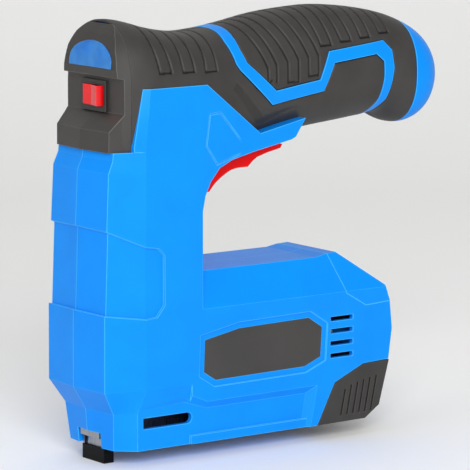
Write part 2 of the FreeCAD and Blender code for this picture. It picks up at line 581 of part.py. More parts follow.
def blade_guide():
    tip = box(-TIP_X, TIP_X, -TIP_HALF, TIP_HALF, NOSE_LOW, TIP_TOP + 1)
    block = box(-GUIDE_X, GUIDE_X, -GUIDE_HALF, GUIDE_HALF, TIP_TOP, BASE_PLATE[0])
    slot = box(-BLADE_T / 2 - 0.15, BLADE_T / 2 + 0.15, -BLADE_W / 2 - 0.25, BLADE_W / 2 + 0.25, 0, 80)
    feed = box(0.0, GUIDE_X + 1, -BLADE_W / 2 - 0.25, BLADE_W / 2 + 0.25, TIP_TOP, MAG_TOP - 1.6)
    save("blade_guide", fuse([tip, block]).cut(slot.fuse(feed)))


YOKE_TOP = 42.0


def contact_foot():
    ring = box(-FOOT_D / 2, FOOT_D / 2, -FOOT_W / 2, FOOT_W / 2, 0.0, FOOT_TOP)
    ring = ring.cut(box(-TIP_X - 0.2, TIP_X + 0.2, -TIP_HALF - FIT, TIP_HALF + FIT, -1.0, FOOT_TOP + 1))
    save("contact_foot", ring)
    out, low = FOOT_W / 2, YOKE_TOP - 3.0
    strips = [box(-2.4, 2.4, out - 1.0, out, FOOT_TOP, YOKE_TOP),
              box(-GUIDE_X - 1.0, -2.4, out - 1.0, out, low, YOKE_TOP)]
    strips += [mirror_y(strip) for strip in strips]
    bar = box(-GUIDE_X - 2.6, -GUIDE_X - 0.4, -out, out, low, YOKE_TOP)
    pad = box(-GUIDE_X - 5.0, -GUIDE_X - 0.4, -3.4, 3.4, low, YOKE_TOP)
    tab = box(-2.4, 2.4, out, out + 5.0, YOKE_TOP - 1.2, YOKE_TOP)
    save("foot_yoke", fuse(strips + [bar, pad, tab]))
    save("foot_spring", spring("z", -GUIDE_X - 2.6, 0.0, YOKE_TOP, BASE_PLATE[0], 1.9, 0.35, 7))


FOOT_TOP = 7.6
BASE_PLATE = (57.8, 62.8)
BASE_HALF = 22.0
ROD_Y = 16.0
GUIDE_ROD_R = 2.5


def frame_base():
    plate = box(-9.8, 8.0, -BASE_HALF, BASE_HALF, *BASE_PLATE)
    plate = plate.cut(box(-BLADE_T / 2 - 0.4, BLADE_T / 2 + 0.4, -BLADE_W / 2 - 0.5, BLADE_W / 2 + 0.5, 0, 90))
    for side in (-1, 1):
        plate = plate.cut(rod("z", 0.0, side * ROD_Y, 0, 90, GUIDE_ROD_R))
    save("frame_base", plate)


PAD_TOP = 68.8
CARRIAGE = (69.0, 88.0)
SPRING_X = 6.0
SPRING_TOP = 165.0
SEAT_T = 4.0


def striker():
    pad = box(-7.0, 8.0, -21.0, 21.0, BASE_PLATE[1], PAD_TOP)
    pad = pad.cut(box(-2.0, 2.0, -BLADE_W / 2 - 1.0, BLADE_W / 2 + 1.0, 0, 90))
    for side in (-1, 1):
        pad = pad.cut(rod("z", 0.0, side * ROD_Y, 0, 90, GUIDE_ROD_R + 0.5))
    save("bumper_pad", pad)
    save("driver_blade", box(-BLADE_T / 2, BLADE_T / 2, -BLADE_W / 2, BLADE_W / 2,
                             NOSE_LOW + 0.2, CARRIAGE[0] + 8.0))
    low, high = CARRIAGE
    block = box(-7.0, 7.6, -21.0, 21.0, low, high)
    block = block.cut(box(-BLADE_T / 2, BLADE_T / 2, -BLADE_W / 2, BLADE_W / 2, 0, low + 8.0))
    for side in (-1, 1):
        block = block.cut(rod("z", 0.0, side * ROD_Y, 0, 200, GUIDE_ROD_R + RUN))
    arm_piece = box(7.6, RACK_X[1], RACK_BACK - 5.0, RACK_BACK, DRIVE_Z + 21.0, high)
    spigot = rod("z", SPRING_X, 0.0, high, high + 6.0, 7.6)
    save("striker_carriage", fuse([block, arm_piece, spigot]))
    save("main_spring", spring("z", SPRING_X, 0.0, high, SPRING_TOP, 10.0, 1.5, 8))
    seat = box(-4.0, 24.0, -20.0, 20.0, SPRING_TOP, SPRING_TOP + SEAT_T)
    for side in (-1, 1):
        seat = seat.cut(rod("z", 0.0, side * ROD_Y, 0, 200, GUIDE_ROD_R))
    save("spring_seat", seat)
    save("guide_rods", group([rod("z", 0.0, side * ROD_Y, BASE_PLATE[0], SPRING_TOP + SEAT_T, GUIDE_ROD_R)
                              for side in (-1, 1)]))


# ---- lifter and rack -------------------------------------------------------------
RACK_X = (16.0, 26.6)
RACK_BACK = PIN_CIRCLE + 8.0
FLANGE_R = PIN_CIRCLE + 2.6
FLANGES = ((12.8, 15.4), (27.2, 29.8))
BEARING = (8.3, 11.3)
GEAR_FRONT = (31.5, 34.5)
GEAR_MID = (59.0, 62.0)
MOTOR_PLATE = (MOTOR_FRONT - 3.0, MOTOR_FRONT)


def rack():
    """Rack whose trapezoid teeth stand between the lifter pins; its gaps fit the pins."""
    pitch = math.radians(PIN_STEP) * PIN_CIRCLE
    gap = PIN_R + 0.3
    root = PIN_CIRCLE + PIN_R + 0.3
    tip = PIN_CIRCLE - TOOTH_H
    pins = int(STROKE / pitch) + 1
    low = DRIVE_Z + (0.5 - pins) * pitch + pitch / 2
    solids = [box(RACK_X[0], RACK_X[1], root, RACK_BACK, low, DRIVE_Z + 21.0)]
    for i in range(pins):
        centre = DRIVE_Z + (0.5 - i) * pitch
        half = pitch / 2 - gap
        solids.append(prism("x", [(root + 0.1, centre - half), (tip, centre - half + 1.2),
                                  (tip, centre + half - 1.2), (root + 0.1, centre + half)], *RACK_X))
    save("rack", fuse(solids))


def lifter():
    web = [tube("x", 0.0, DRIVE_Z, a, b, FLANGE_R, SHAFT_R) for a, b in FLANGES]
    hub = tube("x", 0.0, DRIVE_Z, FLANGES[0][1], FLANGES[1][0], 6.2, SHAFT_R)
    holes, pins = [], []
    for i in range(3):
        angle = math.radians(-i * PIN_STEP)
        y, z = PIN_CIRCLE * math.cos(angle), DRIVE_Z + PIN_CIRCLE * math.sin(angle)
        holes.append(rod("x", y, z, FLANGES[0][0] - 1, FLANGES[1][1] + 1, PIN_R))
        pins.append(rod("x", y, z, FLANGES[0][0], FLANGES[1][1], PIN_R))
    save("lifter_wheel", fuse(web + [hub]).cut(fuse(holes)))
    save("lifter_pins", group(pins))
    save("lifter_shaft", rod("x", 0.0, DRIVE_Z, BEARING[0], GEAR_MID[1], SHAFT_R))


# ---- gears -----------------------------------------------------------------------


def gear(teeth, module, aim, y, z, x0, x1, bore):
    """Involute spur gear with a tooth centred at the angle aim, in degrees from +Y towards +Z."""
    alpha = math.radians(PRESSURE_ANGLE)
    pitch_r = teeth * module / 2
    base_r, tip_r, root_r = pitch_r * math.cos(alpha), pitch_r + 0.8 * module, pitch_r - 1.1 * module
    half_pitch = (math.pi / 2 - BACKLASH / module) / teeth

    def half_angle(radius):
        if radius <= base_r:
            return half_pitch + math.tan(alpha) - alpha
        a = math.acos(base_r / radius)
        return half_pitch + (math.tan(alpha) - alpha) - (math.tan(a) - a)

    start = max(base_r, root_r)
    radii = [start + (tip_r - start) * k / 4 for k in range(5)]
    points = []
    for i in range(teeth):
        centre = math.radians(aim) + 2 * math.pi * i / teeth
        flank = [(root_r, half_angle(start))] * (start > root_r + 0.01) + [(r, half_angle(r)) for r in radii]
        for sign, side in ((-1, flank), (1, flank[::-1])):
            for radius, half in side:
                points.append((y + radius * math.cos(centre + sign * half),
                               z + radius * math.sin(centre + sign * half)))
    return prism("x", points, x0, x1).cut(rod("x", y, z, x0 - 1, x1 + 1, bore))


FINAL_TEETH, FINAL_PINION, FINAL_MODULE = 30, 10, 1.0
FIRST_TEETH, FIRST_PINION, FIRST_MODULE = 40, 10, 0.8


def gear_train():
    lay_z = DRIVE_Z + CENTRES
    save("output_gear", gear(FINAL_TEETH, FINAL_MODULE, 90, 0.0, DRIVE_Z, 38.0, 46.0, SHAFT_R))
    pinion = gear(FINAL_PINION, FINAL_MODULE, -90 + 180 / FINAL_PINION, 0.0, lay_z, 37.0, 47.0, LAY_R)
    save("layshaft", fuse([pinion, rod("x", 0.0, lay_z, GEAR_FRONT[0], MOTOR_PLATE[1] - 0.3, LAY_R)]))
    save("lay_gear", gear(FIRST_TEETH, FIRST_MODULE, -90, 0.0, lay_z, 66.0, 72.0, LAY_R))
    save("motor_pinion", gear(FIRST_PINION, FIRST_MODULE, 90 + 180 / FIRST_PINION, 0.0, DRIVE_Z,
                              65.0, 73.0, ROTOR_R))


BUSH_WALL = 2.0


def bushes():
    lay_z = DRIVE_Z + CENTRES
    spots = [(BEARING, DRIVE_Z, SHAFT_R), (GEAR_FRONT, DRIVE_Z, SHAFT_R), (GEAR_MID, DRIVE_Z, SHAFT_R),
             (GEAR_FRONT, lay_z, LAY_R), (GEAR_MID, lay_z, LAY_R), (MOTOR_PLATE, lay_z, LAY_R)]
    save("shaft_bushes", group([tube("x", 0.0, z, span[0], span[1], r + BUSH_WALL, r + RUN)
                                for span, z, r in spots]))


POSTS = [(-18.5, 42.0), (18.5, 42.0), (-18.5, 82.0), (18.5, 82.0)]
PLATE_HALF = 21.5
BEARING_HALF = 12.0


def plates():
    lay_z = DRIVE_Z + CENTRES
    half = PLATE_HALF
    full = [(-half, 38.0), (half, 38.0), (half, 85.0), (14.0, 93.6), (-14.0, 93.6), (-half, 85.0)]
    low = box(BEARING[0], BEARING[1], -BEARING_HALF, BEARING_HALF, 38.0, 74.0)
    save("bearing_plate", low.cut(rod("x", 0, DRIVE_Z, 0, 20, SHAFT_R + BUSH_WALL)))
    for name, span in (("gear_plate_front", GEAR_FRONT), ("gear_plate_middle", GEAR_MID),
                       ("motor_plate", MOTOR_PLATE)):
        plate = prism("x", full, span[0], span[1])
        plate = plate.cut(rod("x", 0, lay_z, 0, 100, LAY_R + BUSH_WALL))
        middle = MOTOR_BOSS_R if name == "motor_plate" else SHAFT_R + BUSH_WALL
        plate = plate.cut(rod("x", 0, DRIVE_Z, 0, 100, middle))
        save(name, plate)
    spans = ((GEAR_FRONT[1], GEAR_MID[0]), (GEAR_MID[1], MOTOR_PLATE[0]))
    save("gearbox_posts", group([rod("x", y, z, a, b, 2.0) for a, b in spans for y, z in POSTS]))


# ---- motor -----------------------------------------------------------------------
MOTOR_BOSS_R = 6.0
CAN_T = 1.2
CAP_LEN = 5.0


def motor():
    back = MOTOR_FRONT + MOTOR_LEN
    inner = MOTOR_R - CAN_T
    can = fuse([tube("x", 0, DRIVE_Z, MOTOR_FRONT + CAN_T, back, MOTOR_R, inner),
                tube("x", 0, DRIVE_Z, MOTOR_FRONT, MOTOR_FRONT + CAN_T, MOTOR_R, ROTOR_R + RUN),
                tube("x", 0, DRIVE_Z, MOTOR_FRONT - 2.4, MOTOR_FRONT + 0.1, MOTOR_BOSS_R, ROTOR_R + RUN)])
    rim = tube("x", 0, DRIVE_Z, MOTOR_FRONT + 6, back - 16, inner, inner - 1.8)
    magnets = rim.common(box(0, 200, -40, 40, DRIVE_Z - 7.0, DRIVE_Z + 7.0)).Solids
    save("motor_can", group([can] + magnets))
    save("motor_end_cap", tube("x", 0, DRIVE_Z, back, back + CAP_LEN, MOTOR_R, ROTOR_R + RUN))
    save("motor_rotor", group([rod("x", 0, DRIVE_Z, 64.0, back + CAP_LEN + 1.5, ROTOR_R),
                               tube("x", 0, DRIVE_Z, MOTOR_FRONT + 8, back - 18, inner - 2.4, ROTOR_R),
                               tube("x", 0, DRIVE_Z, back - 18, back - 8, 5.0, ROTOR_R)]))


# ---- magazine --------------------------------------------------------------------
TRACK_X = (GUIDE_X, 118.0)
TRACK_T = 1.0
CHANNEL_T = 1.0
CHANNEL_LOW = 10.0
RAIL_HALF = BLADE_W / 2 - 1.6
RAIL_TOP = 18.0
GUIDE_WIRE_Z = 21.6
PUSHER_LEN = 20.0


def magazine():
    inner = MAG_HALF - TRACK_T
    track = box(TRACK_X[0], TRACK_X[1], -MAG_HALF, MAG_HALF, TIP_TOP, MAG_TOP).cut(
        box(TRACK_X[0] - 1, TRACK_X[1] + 1, -inner, inner, 0, MAG_TOP - TRACK_T))
    save("magazine_track", track)
    half = inner - FIT
    x0, x1 = TRACK_X[0] + 0.4, GRIP_SIDE[2][0]
    channel = box(x0, x1, -half, half, CHANNEL_LOW, MAG_TOP - TRACK_T - FIT).cut(
        box(x0 - 1, x1 - 1.2, -half + CHANNEL_T, half - CHANNEL_T, CHANNEL_LOW + CHANNEL_T, 60))
    save("magazine_channel", channel)
    rail = box(x0, x1 - 1.2, -RAIL_HALF, RAIL_HALF, CHANNEL_LOW + CHANNEL_T + 2.0, RAIL_TOP).fuse(
        box(x0, x1 - 1.2, -1.5, 1.5, CHANNEL_LOW + CHANNEL_T, CHANNEL_LOW + CHANNEL_T + 2.5))
    bracket = box(x0, x0 + 1.2, -RAIL_HALF, RAIL_HALF, RAIL_TOP - 0.1, GUIDE_WIRE_Z + 2.0)
    rail = rail.fuse(bracket).cut(rod("x", 0, GUIDE_WIRE_Z, 0, 20, 1.0))
    save("magazine_rail", rail)
    save("pusher_rod", rod("x", 0.0, GUIDE_WIRE_Z, x0, x1 - 1.2, 1.0))
    px = x0 + 1.4
    push = box(px, px + PUSHER_LEN, -half + CHANNEL_T + 0.3, half - CHANNEL_T - 0.3,
               CHANNEL_LOW + CHANNEL_T + 2.2, MAG_TOP - TRACK_T - 0.8)
    push = push.cut(box(px - 1, px + PUSHER_LEN + 1, -RAIL_HALF - 0.15, RAIL_HALF + 0.15, 0, RAIL_TOP + 0.2))
    save("pusher", push.cut(rod("x", 0, GUIDE_WIRE_Z, 0, 100, 1.15)))
    save("pusher_spring", spring("x", 0.0, GUIDE_WIRE_Z, px + PUSHER_LEN, x1 - 1.2, 2.2, 0.3, 24))


GROOVE_TOP = 4.5
GRIP_GROOVES = 6


def magazine_grip():
    """Ribbed tail block that the magazine is pulled out by, in one piece across the tool."""
    block = prism("y", GRIP_SIDE, -HALF_W, HALF_W)
    x1 = GRIP_SIDE[2][0]
    half = MAG_HALF - TRACK_T - FIT
    block = block.cut(box(100.0, x1, -half, half, 0.0, MAG_TOP - TRACK_T - FIT))
    top_a, top_b = (137.9, 26.2), (158.9, 31.4)
    low_a, low_b = (134.9, 12.2), (155.0, 12.6)
    for side in (-1, 1):
        for i in range(GRIP_GROOVES):
            t = i / (GRIP_GROOVES - 1)
            tx, tz = top_a[0] + (top_b[0] - top_a[0]) * t, top_a[1] + (top_b[1] - top_a[1]) * t ** 0.6
            lx, lz = low_a[0] + (low_b[0] - low_a[0]) * t, low_a[1] + (low_b[1] - low_a[1]) * t
            points = [(tx - 0.8, tz), (tx + 0.8, tz), (lx + 0.8, lz), (lx - 0.8, lz)]
            y0 = side * HALF_W - (1.4 if side > 0 else 0.6)
            block = block.cut(prism("y", points, y0, y0 + 2.0))
    lean = (GRIP_SIDE[3][0] - GRIP_SIDE[4][0]) / (GRIP_SIDE[3][1] - GRIP_SIDE[4][1])
    low, high, proud = 21.0, 32.0, 1.2
    at_low, at_high = (GRIP_SIDE[4][0] + lean * (z - GRIP_SIDE[4][1]) + proud for z in (low, high))
    save("magazine_grip", block.cut(box(at_low - 9.0, 190.0, -7.3, 7.3, low - FIT, high + FIT)))
    save("latch_button", prism("y", [(at_low - 6.0, low), (at_low, low), (at_high, high), (at_low - 6.0, high)],
                               -7.0, 7.0))


# ---- electrical ------------------------------------------------------------------
CELL_X0 = 114.0
CELL_Z = (187.2, 206.4)
HOLDER_T = 2.4           # cell holder end plates
BOARD_Z = 77.6
BOARD_HALF = 15.0


def battery():
    x1 = CELL_X0 + CELL_LEN
    cells = []
    for z in CELL_Z:
        can = rod("x", 0.0, z, CELL_X0, x1 - 1.2, CELL_R)
        cells.append(can.fuse(rod("x", 0.0, z, x1 - 1.3, x1, 3.0)))
    save("battery_cells", group(cells))
    ends = [box(a, b, -CELL_R, CELL_R, CELL_Z[0] - CELL_R, CELL_Z[1] + CELL_R)
            for a, b in ((CELL_X0 - HOLDER_T, CELL_X0), (x1, x1 + HOLDER_T))]
    spine = box(CELL_X0 - 1, x1 + 1, CELL_R + 0.1, CELL_R + 1.7, CELL_Z[0] - 5, CELL_Z[1] + 5)
    web = [box(a, b, CELL_R - 1, CELL_R + 1.7, CELL_Z[0] - 5, CELL_Z[1] + 5)
           for a, b in ((CELL_X0 - HOLDER_T, CELL_X0), (x1, x1 + HOLDER_T))]
    save("cell_holder", fuse(ends + web + [spine]))


def electronics():
    board_top = BOARD_Z + 1.6
    board = box(86.0, 114.0, -BOARD_HALF, BOARD_HALF, BOARD_Z, board_top)
    chips = [box(90, 98, -12, -4, board_top, board_top + 4.8), box(90, 100, 4, 9, board_top, board_top + 3.8),
             box(102, 110, -12, -6, board_top, board_top + 2.8)]
    save("control_board", group([board, rod("z", 106.0, 6.0, board_top, board_top + 9.8, 4.0)] + chips))
    depth = ARM_END - 10.0
    jack = rod("x", 0.0, SOCKET_Z, depth, ARM_END + 0.9, SOCKET_R)
    jack = jack.cut(rod("x", 0.0, SOCKET_Z, depth + 2, ARM_END + 5, 2.75))
    save("charging_socket", jack.fuse(rod("x", 0.0, SOCKET_Z, depth, ARM_END - 1, 0.8)))
    save("safety_switch", box(-5.0, 5.0, FOOT_W / 2 + 1.0, FOOT_W / 2 + 7.0,
                              YOKE_TOP + FOOT_TRAVEL + 0.4, BASE_PLATE[0]))


def main():
    os.makedirs("parts", exist_ok=True)
    skins = {depth: upper_body(depth) for depth in (0.0, RUBBER, WALL)}
    housing(skins)
    head_panel(skins)
    lens()
    led_board()
    rocker_switch()
    label_plates()
    screws()
    trigger()
    trigger_works()
    blade_guide()
    contact_foot()
    frame_base()
    striker()
    rack()
    lifter()
    gear_train()
    bushes()
    plates()
    motor()
    magazine()
    magazine_grip()
    battery()
    electronics()


main()
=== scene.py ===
"""Looks of a cordless electric staple gun: finishes, ribbed rubber grips, rocker marks and the studio."""
import json

import bpy
import numpy as np
from bpy.props import FloatProperty, FloatVectorProperty, PointerProperty
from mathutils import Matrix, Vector


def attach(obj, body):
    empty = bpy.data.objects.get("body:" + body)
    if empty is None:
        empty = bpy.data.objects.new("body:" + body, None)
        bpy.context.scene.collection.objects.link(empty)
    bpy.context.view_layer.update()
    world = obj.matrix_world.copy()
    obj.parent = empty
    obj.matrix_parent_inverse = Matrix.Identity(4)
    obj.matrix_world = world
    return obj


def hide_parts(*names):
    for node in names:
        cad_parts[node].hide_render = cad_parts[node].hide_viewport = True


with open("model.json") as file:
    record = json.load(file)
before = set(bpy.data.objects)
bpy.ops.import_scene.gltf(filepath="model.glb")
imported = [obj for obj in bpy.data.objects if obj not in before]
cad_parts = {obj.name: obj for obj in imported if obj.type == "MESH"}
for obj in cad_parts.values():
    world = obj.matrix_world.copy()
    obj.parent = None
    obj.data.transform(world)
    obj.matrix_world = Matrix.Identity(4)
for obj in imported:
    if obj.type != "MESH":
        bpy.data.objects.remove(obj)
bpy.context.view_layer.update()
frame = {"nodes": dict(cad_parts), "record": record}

bl_info = {
    "name": "Staple gun looks",
    "version": (1, 0, 0),
    "blender": (4, 5, 0),
    "location": "View3D > Sidebar > Staple gun",
    "description": "Finishes and moulded details for a cordless staple gun",
    "category": "Object",
}

MM = 0.001

# Directions of a finish's marks: the noise is drawn out where its coordinate is squeezed.
ALL_WAYS = (1.0, 1.0, 1.0)
ALONG_X = (0.05, 1.0, 1.0)
ALONG_Y = (1.0, 0.15, 1.0)
ALONG_Z = (1.0, 1.0, 0.05)

NOISE_SPAN = (0.3, 0.7)      # noise spends nearly all its area between these values
# EDGE_SPAN also sets where the painted edge highlight of a moulding fades in.
EDGE_SPAN = (0.999, 0.93)    # agreement of soft and true normals, from a flat to a full edge
CLOUD_MM = 28.0              # breadth of the slow drift in tone over a moulding
PLASTIC_IOR = 1.53
METAL_EDGE_MM = 0.15


# ---------------------------------------------------------------- colours and nodes
# Real moulding grain is 0.02 to 0.1 mm and would not show, so grains are drawn 0.3 to 0.9 mm across.

def linear(hex_code):
    """sRGB hex code to a linear colour with full opacity."""
    share = np.array([int(hex_code[k:k + 2], 16) for k in (1, 3, 5)]) / 255.0
    low, high = share / 12.92, ((share + 0.055) / 1.055) ** 2.4
    return (*np.where(share <= 0.04045, low, high).tolist(), 1.0)


def add(tree, kind, settings=None, inputs=None):
    """One shader node with its settings; an input is a value or the socket that feeds it."""
    node = tree.nodes.new("ShaderNode" + kind)
    for name, value in (settings or {}).items():
        setattr(node, name, value)
    for name, value in (inputs or {}).items():
        socket = node.inputs[name]
        if isinstance(value, bpy.types.NodeSocket):
            tree.links.new(value, socket)
        else:
            socket.default_value = value
    return node


def blank(name):
    """A new node material with its output and a Principled shader."""
    material = bpy.data.materials.new(name)
    material.use_nodes = True
    tree = material.node_tree
    tree.nodes.clear()
    output = add(tree, "OutputMaterial")
    shader = add(tree, "BsdfPrincipled")
    tree.links.new(shader.outputs[0], output.inputs[0])
    return material, tree, shader


def noise(tree, size_mm, detail=3.0, stretch=ALL_WAYS):
    """Noise on the piece's own coordinates, with grains about size_mm across, drawn out along a direction."""
    coordinates = add(tree, "TexCoord")
    mapping = add(tree, "Mapping", None, {"Vector": coordinates.outputs["Object"], "Scale": stretch})
    return add(tree, "TexNoise", None, {"Vector": mapping.outputs[0], "Scale": 1.0 / (size_mm * MM),
                                        "Detail": detail, "Roughness": 0.55}).outputs["Fac"]


def colour_between(tree, value, span, low, high):
    """Colour low turning to high while value crosses span; each is a socket, a hex code or a colour."""
    share = add(tree, "MapRange", None, {"Value": value, "From Min": span[0], "From Max": span[1]}).outputs[0]
    mix = add(tree, "Mix", {"data_type": "RGBA"}, {"Factor": share})
    for slot, tone in ((6, low), (7, high)):
        if isinstance(tone, bpy.types.NodeSocket):
            tree.links.new(tone, mix.inputs[slot])
        else:
            mix.inputs[slot].default_value = linear(tone) if isinstance(tone, str) else tone
    return mix.outputs[2]


def dress(tree, shader, tone, gloss_noise, rough, height, depth_mm, normal=None):
    """Base colour, roughness that follows a noise from rough[0] to rough[1] or is one number all over, and
    bump of depth_mm."""
    tree.links.new(tone, shader.inputs["Base Color"])
    if isinstance(rough, tuple):
        gloss = add(tree, "MapRange", None, {"Value": gloss_noise, "From Min": NOISE_SPAN[0],
                                             "From Max": NOISE_SPAN[1], "To Min": rough[0], "To Max": rough[1]})
        tree.links.new(gloss.outputs[0], shader.inputs["Roughness"])
    else:
        shader.inputs["Roughness"].default_value = rough
    if depth_mm:
        inputs = {"Height": height, "Distance": depth_mm * MM, "Strength": 1.0}
        if normal:
            inputs["Normal"] = normal
        tree.links.new(add(tree, "Bump", None, inputs).outputs[0], shader.inputs["Normal"])


def soft_edges(tree, round_mm):
    """Normal that turns smoothly over each edge within round_mm, and its agreement with the face's own
    normal, which is 1 on flats and less on edges."""
    normal = add(tree, "Bevel", {"samples": 8}, {"Radius": round_mm * MM}).outputs[0]
    facing = add(tree, "NewGeometry").outputs["True Normal"]
    dot = add(tree, "VectorMath", {"operation": "DOT_PRODUCT"}, {0: normal, 1: facing})
    return normal, dot.outputs["Value"]


def moulded(name, dark, light, edge, rough, grain_mm, depth_mm, round_mm, gloss=0.5):
    """Moulded plastic: two close tones in broad clouds, a spark-eroded grain, softened edges with a paler painted
    highlight along them.
    """
    material, tree, shader = blank(name)
    clouds = noise(tree, CLOUD_MM, 2.0)
    grain = noise(tree, grain_mm)
    normal, flatness = soft_edges(tree, round_mm)
    tone = colour_between(tree, clouds, NOISE_SPAN, dark, light)
    # Painted highlight: the colour edge is laid on wherever the softened normal turns away from the face's own
    # normal.
    tone = colour_between(tree, flatness, EDGE_SPAN, tone, edge)
    dress(tree, shader, tone, grain, (rough - 0.05, rough + 0.07), grain, depth_mm, normal)
    shader.inputs["IOR"].default_value = PLASTIC_IOR
    shader.inputs["Specular IOR Level"].default_value = gloss
    return material


def worked_metal(name, dark, light, rough, stretch, line_mm, depth_mm):
    """Metal whose grinding, drawing or plating left marks: one noise in tone, gloss and relief."""
    material, tree, shader = blank(name)
    lines = noise(tree, line_mm, 4.0, stretch)
    normal = add(tree, "Bevel", {"samples": 8}, {"Radius": METAL_EDGE_MM * MM}).outputs[0]
    tone = colour_between(tree, lines, NOISE_SPAN, dark, light)
    dress(tree, shader, tone, lines, (rough - 0.08, rough + 0.1), lines, depth_mm, normal)
    shader.inputs["Metallic"].default_value = 1.0
    return material


# ---------------------------------------------------------------- settings

def colour(name, description, hex_code):
    """Colour property with an sRGB default."""
    return FloatVectorProperty(name=name, description=description, subtype="COLOR", size=3, min=0.0, max=1.0,
                               default=linear(hex_code)[:3])


def length(name, description, default_mm, low_mm, high_mm):
    """Length property in metres."""
    return FloatProperty(name=name, description=description, default=default_mm * MM, min=low_mm * MM,
                         max=high_mm * MM, unit="LENGTH", precision=5)


class StapleGunGripSettings(bpy.types.PropertyGroup):
    """Sizes of the ribbed rubber."""
    thickness: length("Rubber thickness", "Thickness of the moulded-on rubber", 1.2, 0.5, 1.35)
    groove_depth: length("Groove depth", "Depth of the grooves that outline each rib", 0.8, 0.0, 1.0)
    groove_width: length("Groove width", "Width of the grooves that outline each rib", 1.15, 0.3, 2.0)


class StapleGunStudioSettings(bpy.types.PropertyGroup):
    """The camera and the room's light."""
    focal_length: FloatProperty(name="Focal length", description="Camera lens, in millimetres", default=268.1,
                                min=50.0, max=500.0)
    key_power: FloatProperty(name="Key light", description="Power of the softbox on the left", default=40.0,
                             min=0.0, max=500.0, subtype="POWER")
    fill_power: FloatProperty(name="Fill light", description="Power of the softboxes in front and above", default=4.0,
                              min=0.0, max=500.0, subtype="POWER")
    floor_colour: colour("Floor colour", "Paper that the tool stands on", "#FCFCFB")


# ---------------------------------------------------------------- the handle's outline

# Along X in mm: place, top, height of the widest line, bottom, half width, roundness above and below.
SECTIONS = np.array([
    (-3.3, 228.9, 192.0, 150.0, 25.0, 2.4, 6.0), (3.0, 228.9, 192.0, 150.0, 27.0, 2.4, 6.0),
    (8.5, 228.7, 192.0, 150.0, 28.6, 2.45, 6.0), (14.0, 227.5, 191.0, 150.0, 30.0, 2.5, 6.0),
    (24.0, 224.6, 190.0, 150.0, 30.6, 2.6, 6.0), (36.0, 222.0, 188.0, 150.0, 30.6, 2.6, 6.0),
    (50.0, 220.3, 188.0, 151.0, 30.0, 2.6, 5.0), (64.0, 221.2, 188.0, 154.5, 28.6, 2.5, 3.6),
    (80.0, 223.6, 190.0, 158.5, 26.6, 2.45, 2.8), (100.0, 227.3, 194.5, 162.4, 25.0, 2.4, 2.4),
    (120.0, 229.2, 197.0, 164.5, 24.0, 2.4, 2.4), (137.0, 229.8, 198.0, 166.2, 24.0, 2.4, 2.4),
    (150.0, 228.9, 198.0, 167.4, 24.0, 2.4, 2.4), (165.0, 226.9, 198.0, 168.9, 23.6, 2.4, 2.4),
    (176.0, 224.7, 197.2, 169.6, 23.4, 2.35, 2.35), (183.0, 222.8, 194.5, 165.6, 24.6, 2.3, 2.3),
    (189.0, 220.6, 192.3, 163.6, 25.2, 2.3, 2.3), (196.0, 217.4, 190.7, 164.0, 25.0, 2.3, 2.3),
    (203.0, 212.6, 190.1, 167.6, 22.6, 2.3, 2.3)])

# Corners of the inlaid band, X and Z in mm, outer edge and then inner edge.
BAND = np.array([
    (69.0, 240.0), (67.0, 215.4), (68.4, 210.2), (70.2, 203.7), (72.4, 200.5), (94.6, 181.0), (129.1, 185.9),
    (135.6, 200.5), (164.1, 203.5), (169.6, 199.2), (170.1, 190.1), (169.1, 178.6), (160.0, 160.0),
    (164.0, 160.0), (174.3, 178.2), (175.3, 186.6), (176.3, 195.7), (174.8, 205.2), (169.3, 210.4),
    (132.3, 206.8), (126.4, 192.1), (96.6, 188.3), (77.2, 204.2), (74.4, 210.9), (73.6, 217.2), (72.0, 240.0)])

# Slanted sunk panel behind the front of the guard, X and Z in mm.
SUNK = np.array([(65.4, 191.6), (68.9, 195.8), (72.5, 192.8), (89.5, 175.5), (112.0, 179.6), (112.0, 178.2),
                 (91.0, 171.6), (84.5, 170.6)])

# Ribs: left edge and width at the crest, left edge and width at the lower end, height of that end, in mm.
RIBS = np.array([
    (16.0, 7.4, 20.0, 7.4, 202.6), (33.2, 7.4, 34.4, 7.4, 202.2), (50.0, 6.4, 48.3, 7.9, 201.6),
    (78.4, 6.4, 91.0, 6.0, 193.6), (90.6, 7.2, 104.6, 7.2, 192.0), (105.6, 7.6, 118.6, 6.6, 194.4),
    (120.8, 7.4, 128.5, 6.8, 210.0), (134.4, 7.2, 142.3, 6.9, 211.5), (150.0, 6.6, 155.6, 6.6, 212.7),
    (164.0, 7.0, 170.4, 7.0, 214.3)])

# All in mm.
RUBBER_FRONT, RUBBER_BACK = 3.6, 192.0
CAP_START = 189.8        # the rubber starts to dive under the bare end cap
GUARD_BACK = 117.3       # behind this the rubber goes all round the handle
HEAD_FLANK_BACK = 20.0   # in front of this the rubber covers the head's flank, down to FLANK_FOOT
FLANK_FOOT = 163.6
FLANK_PROUD = 0.2
DIVE = 1.3               # depth of the rubber's hidden rim under the shell
PANEL_SINK = 0.28        # depth of the slanted panel
# Painted shade: the rubber's colour reaches its darkest at this sunk depth.
FULL_SHADE_SINK = 0.6          # depth at which a groove is fully dark
# Height of the rubber's hidden lower edge along X, under the column's shoulder and the guard.
LOWER_EDGE_X = (0.0, 48.2, 84.5, 116.5)
LOWER_EDGE_Z = (185.5, 185.5, 163.0, 164.5)
LENGTH_STEPS = 400
# Fine steps round the ribs and coarse ones under the handle, in degrees.
ROUND_ANGLES = np.radians(np.concatenate([np.linspace(90.2, 214.0, 108), np.linspace(217.0, 270.0, 17)]))


